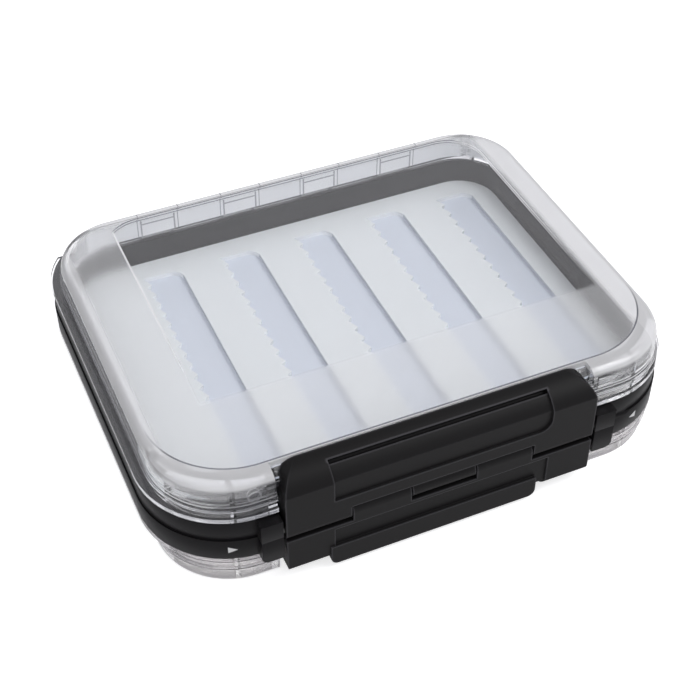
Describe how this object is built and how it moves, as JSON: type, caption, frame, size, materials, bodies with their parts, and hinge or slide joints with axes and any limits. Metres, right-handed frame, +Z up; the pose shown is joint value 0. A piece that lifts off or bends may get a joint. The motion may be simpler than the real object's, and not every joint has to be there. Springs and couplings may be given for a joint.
{
  "type": "waterproof lure box",
  "caption": "Double-sided waterproof lure box: black centre frame with clear hinged lids above and below, serrated inserts, seals and snap latches on a shared pin.",
  "frame": {"origin": "centre of the case's plan on the underside of the lower lid, the face that the box rests on", "axes": "+X along the latches to the right as seen from the front, +Y from the latches to the hinges, +Z up"},
  "size_m": [0.12, 0.103, 0.0292],
  "materials": {
    "frame_black": "satin black ABS",
    "latch_black": "fine-textured black ABS",
    "insert_white": "satin white soft moulding",
    "seal_black": "matte black silicone",
    "lid_clear": "clear polycarbonate, polished window and frosted border",
    "pin_steel": "drawn stainless wire"
  },
  "bodies": {
    "frame": {"center_frame": "frame_black", "upper_insert": "insert_white", "lower_insert": "insert_white", "upper_seal": "seal_black", "lower_seal": "seal_black", "upper_hinge_pin": "pin_steel", "lower_hinge_pin": "pin_steel", "latch_pin": "pin_steel"},
    "upper_lid": {"upper_lid": "lid_clear"},
    "lower_lid": {"lower_lid": "lid_clear"},
    "upper_latch": {"upper_latch": "latch_black"},
    "lower_latch": {"lower_latch": "latch_black"}
  },
  "joints": [
    {"name": "upper_lid_hinge", "type": "hinge", "parent": "frame", "child": "upper_lid", "pos_m": [0, 0.0475, 0.01815], "axis": [-1, 0, 0], "range_deg": [0, 115]},
    {"name": "lower_lid_hinge", "type": "hinge", "parent": "frame", "child": "lower_lid", "pos_m": [0, 0.0475, 0.01105], "axis": [1, 0, 0], "range_deg": [0, 115]},
    {"name": "upper_latch_hinge", "type": "hinge", "parent": "frame", "child": "upper_latch", "pos_m": [-0.0009, -0.0504, 0.0146], "axis": [1, 0, 0], "range_deg": [0, 45]},
    {"name": "lower_latch_hinge", "type": "hinge", "parent": "frame", "child": "lower_latch", "pos_m": [-0.0009, -0.0504, 0.0146], "axis": [-1, 0, 0], "range_deg": [0, 45]}
  ]
}
